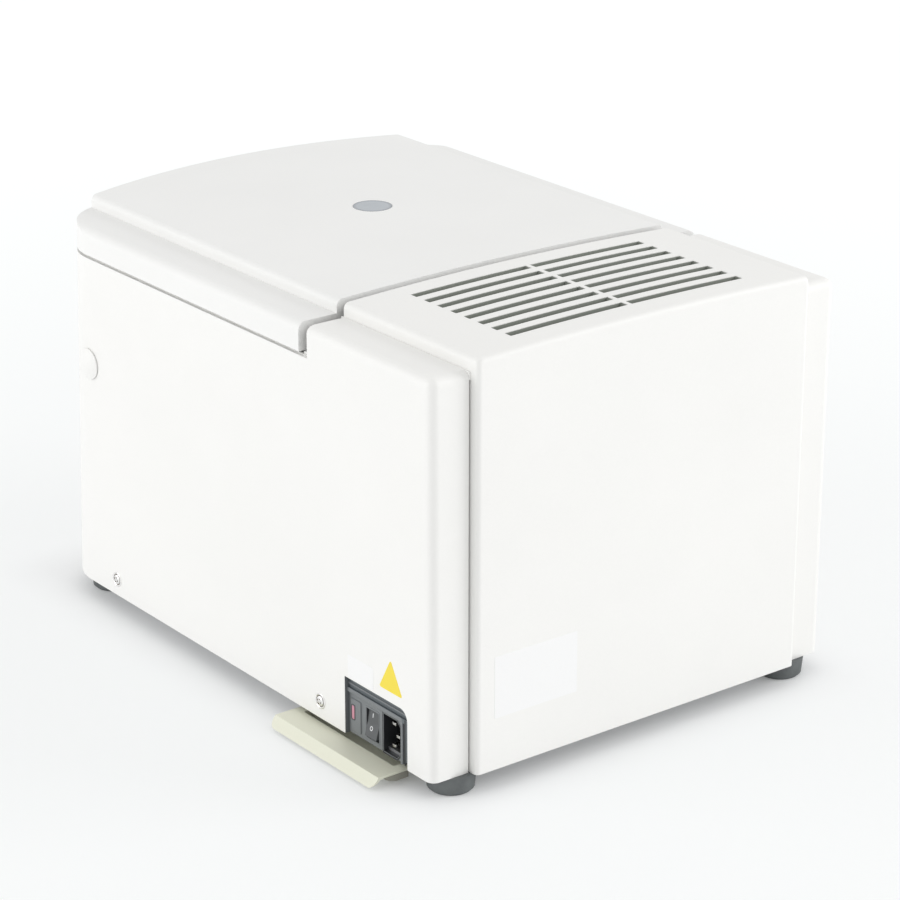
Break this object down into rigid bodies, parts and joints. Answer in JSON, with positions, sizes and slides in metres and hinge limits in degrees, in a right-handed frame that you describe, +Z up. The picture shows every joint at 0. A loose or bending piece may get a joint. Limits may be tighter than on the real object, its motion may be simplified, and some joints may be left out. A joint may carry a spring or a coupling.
{
  "type": "refrigerated microcentrifuge",
  "caption": "Cooled bench centrifuge for small tubes, with a hinged lid, a fixed-angle rotor in a steel chamber, a rear air grille and a side mains inlet.",
  "frame": {"origin": "middle of the object's outline on the surface it stands on, with the tray where it lies at rest", "axes": "+Z up, +Y towards the rear grille, +X towards the side with the mains inlet"},
  "size_m": [0.3204, 0.43, 0.2645],
  "materials": {
    "housing_white": "fine moulded texture, warm white",
    "lid_grey": "fine moulded texture, light warm grey",
    "liner_plastic": "smooth moulding",
    "deck_plastic": "smooth moulding",
    "panel_grey": "membrane-covered panel",
    "display_glass": "smoked glossy window",
    "board_green": "solder-masked board",
    "key_plastic": "satin keycaps",
    "function_key_plastic": "satin keycaps",
    "foot_rubber": "matt rubber",
    "seal_rubber": "soft silicone",
    "sheet_steel": "zinc-coated sheet",
    "bright_steel": "plated steel",
    "chamber_steel": "pressed stainless steel",
    "jacket_foam": "rigid foam",
    "motor_enamel": "black enamel",
    "fin_aluminium": "dusty fins",
    "fan_black": "moulded",
    "rotor_aluminium": "anodised",
    "rotor_cover_aluminium": "anodised, turned",
    "knob_black": "moulded grip",
    "inlet_slate": "dark slate moulding",
    "rocker_black": "satin rocker",
    "pin_metal": "nickel-plated pins",
    "sight_window": "tinted clear plastic",
    "tray_beige": "moulded, beige",
    "plug_white": "moulded cap"
  },
  "bodies": {
    "housing": {"base_pan": "sheet_steel", "chamber_bowl": "chamber_steel", "chamber_deck": "deck_plastic", "chamber_insulation": "jacket_foam", "compressor": "motor_enamel", "condenser": "fin_aluminium", "control_board": "board_green", "control_panel": "panel_grey", "display_module": "board_green", "display_window": "display_glass", "drive_motor": "motor_enamel", "fan_shroud": "fan_black", "front_fascia": "housing_white", "grip_recess": "liner_plastic", "hinge_brackets": "sheet_steel", "hinge_pins": "bright_steel", "inlet_bracket": "inlet_slate", "inlet_module": "inlet_slate", "latch_brackets": "sheet_steel", "mains_pins": "pin_metal", "motor_dampers": "foot_rubber", "motor_plate": "sheet_steel", "power_board": "board_green", "rear_bulkhead": "sheet_steel", "rear_cover": "housing_white", "rubber_feet": "foot_rubber", "shaft_seal": "foot_rubber", "side_cover_left": "housing_white", "side_cover_right": "housing_white", "side_screws": "bright_steel", "tray_runners": "sheet_steel"},
    "lid": {"lid_shell": "lid_grey", "lid_liner": "liner_plastic", "lid_seal": "seal_rubber", "lid_window": "sight_window", "lid_screws": "bright_steel", "hinge_arms": "sheet_steel", "lid_strikers": "bright_steel"},
    "rotor": {"rotor": "rotor_aluminium", "motor_shaft": "bright_steel"},
    "rotor_cover": {"rotor_lid": "rotor_cover_aluminium"},
    "rotor_knob": {"rotor_knob": "knob_black"},
    "latch": {"latch_yoke": "bright_steel", "latch_shafts": "bright_steel"},
    "release_plug": {"release_plug": "plug_white"},
    "rocker": {"power_rocker": "rocker_black"},
    "fuse_drawer": {"fuse_drawer": "inlet_slate"},
    "tray": {"condensate_tray": "tray_beige"},
    "fan": {"cooling_fan": "fan_black"},
    "temperature_down": {"temperature_down_key": "key_plastic"},
    "temperature_up": {"temperature_up_key": "key_plastic"},
    "time_down": {"time_down_key": "key_plastic"},
    "time_up": {"time_up_key": "key_plastic"},
    "speed_down": {"speed_down_key": "key_plastic"},
    "speed_up": {"speed_up_key": "key_plastic"},
    "open": {"open_key": "function_key_plastic"},
    "short_spin": {"short_spin_key": "function_key_plastic"},
    "start_stop": {"start_stop_key": "function_key_plastic"}
  },
  "joints": [
    {"name": "lid_hinge", "type": "hinge", "parent": "housing", "child": "lid", "pos_m": [-0.0091, 0.102, 0.252], "axis": [-1, 0, 0], "range_deg": [0, 75]},
    {"name": "rotor_spin", "type": "hinge", "parent": "housing", "child": "rotor", "pos_m": [-0.0091, -0.051, 0.15], "axis": [0, 0, 1], "continuous": true},
    {"name": "rotor_cover_lift", "type": "slide", "parent": "rotor", "child": "rotor_cover", "axis": [0, 0, 1], "range_m": [0, 0.004]},
    {"name": "rotor_knob_turn", "type": "hinge", "parent": "rotor_cover", "child": "rotor_knob", "pos_m": [-0.0091, -0.051, 0.215], "axis": [0, 0, 1], "range_deg": [0, 360]},
    {"name": "latch_swing", "type": "hinge", "parent": "housing", "child": "latch", "pos_m": [-0.0091, -0.151, 0.164], "axis": [-1, 0, 0], "range_deg": [0, 10]},
    {"name": "release_plug_pull", "type": "slide", "parent": "housing", "child": "release_plug", "axis": [1, 0, 0], "range_m": [0, 0.012]},
    {"name": "power_rocker_tilt", "type": "hinge", "parent": "housing", "child": "rocker", "pos_m": [0.1339, 0.148, 0.025], "axis": [0, 1, 0], "range_deg": [0, 22]},
    {"name": "fuse_drawer_slide", "type": "slide", "parent": "housing", "child": "fuse_drawer", "axis": [1, 0, 0], "range_m": [0, 0.018]},
    {"name": "tray_slide", "type": "slide", "parent": "housing", "child": "tray", "axis": [1, 0, 0], "range_m": [-0.012, 0.1]},
    {"name": "fan_spin", "type": "hinge", "parent": "housing", "child": "fan", "pos_m": [-0.0091, 0.1373, 0.176], "axis": [0, 0, 1], "continuous": true},
    {"name": "temperature_down_press", "type": "slide", "parent": "housing", "child": "temperature_down", "axis": [0, 0.9986, -0.0536], "range_m": [0, 0.001], "stiffness_N_per_m": 300},
    {"name": "temperature_up_press", "type": "slide", "parent": "housing", "child": "temperature_up", "axis": [0, 0.9986, -0.0536], "range_m": [0, 0.001], "stiffness_N_per_m": 300},
    {"name": "time_down_press", "type": "slide", "parent": "housing", "child": "time_down", "axis": [0, 0.9986, -0.0536], "range_m": [0, 0.001], "stiffness_N_per_m": 300},
    {"name": "time_up_press", "type": "slide", "parent": "housing", "child": "time_up", "axis": [0, 0.9986, -0.0536], "range_m": [0, 0.001], "stiffness_N_per_m": 300},
    {"name": "speed_down_press", "type": "slide", "parent": "housing", "child": "speed_down", "axis": [0, 0.9986, -0.0536], "range_m": [0, 0.001], "stiffness_N_per_m": 300},
    {"name": "speed_up_press", "type": "slide", "parent": "housing", "child": "speed_up", "axis": [0, 0.9986, -0.0536], "range_m": [0, 0.001], "stiffness_N_per_m": 300},
    {"name": "open_press", "type": "slide", "parent": "housing", "child": "open", "axis": [0, 0.9986, -0.0536], "range_m": [0, 0.001], "stiffness_N_per_m": 300},
    {"name": "short_spin_press", "type": "slide", "parent": "housing", "child": "short_spin", "axis": [0, 0.9986, -0.0536], "range_m": [0, 0.001], "stiffness_N_per_m": 300},
    {"name": "start_stop_press", "type": "slide", "parent": "housing", "child": "start_stop", "axis": [0, 0.9986, -0.0536], "range_m": [0, 0.001], "stiffness_N_per_m": 300}
  ]
}
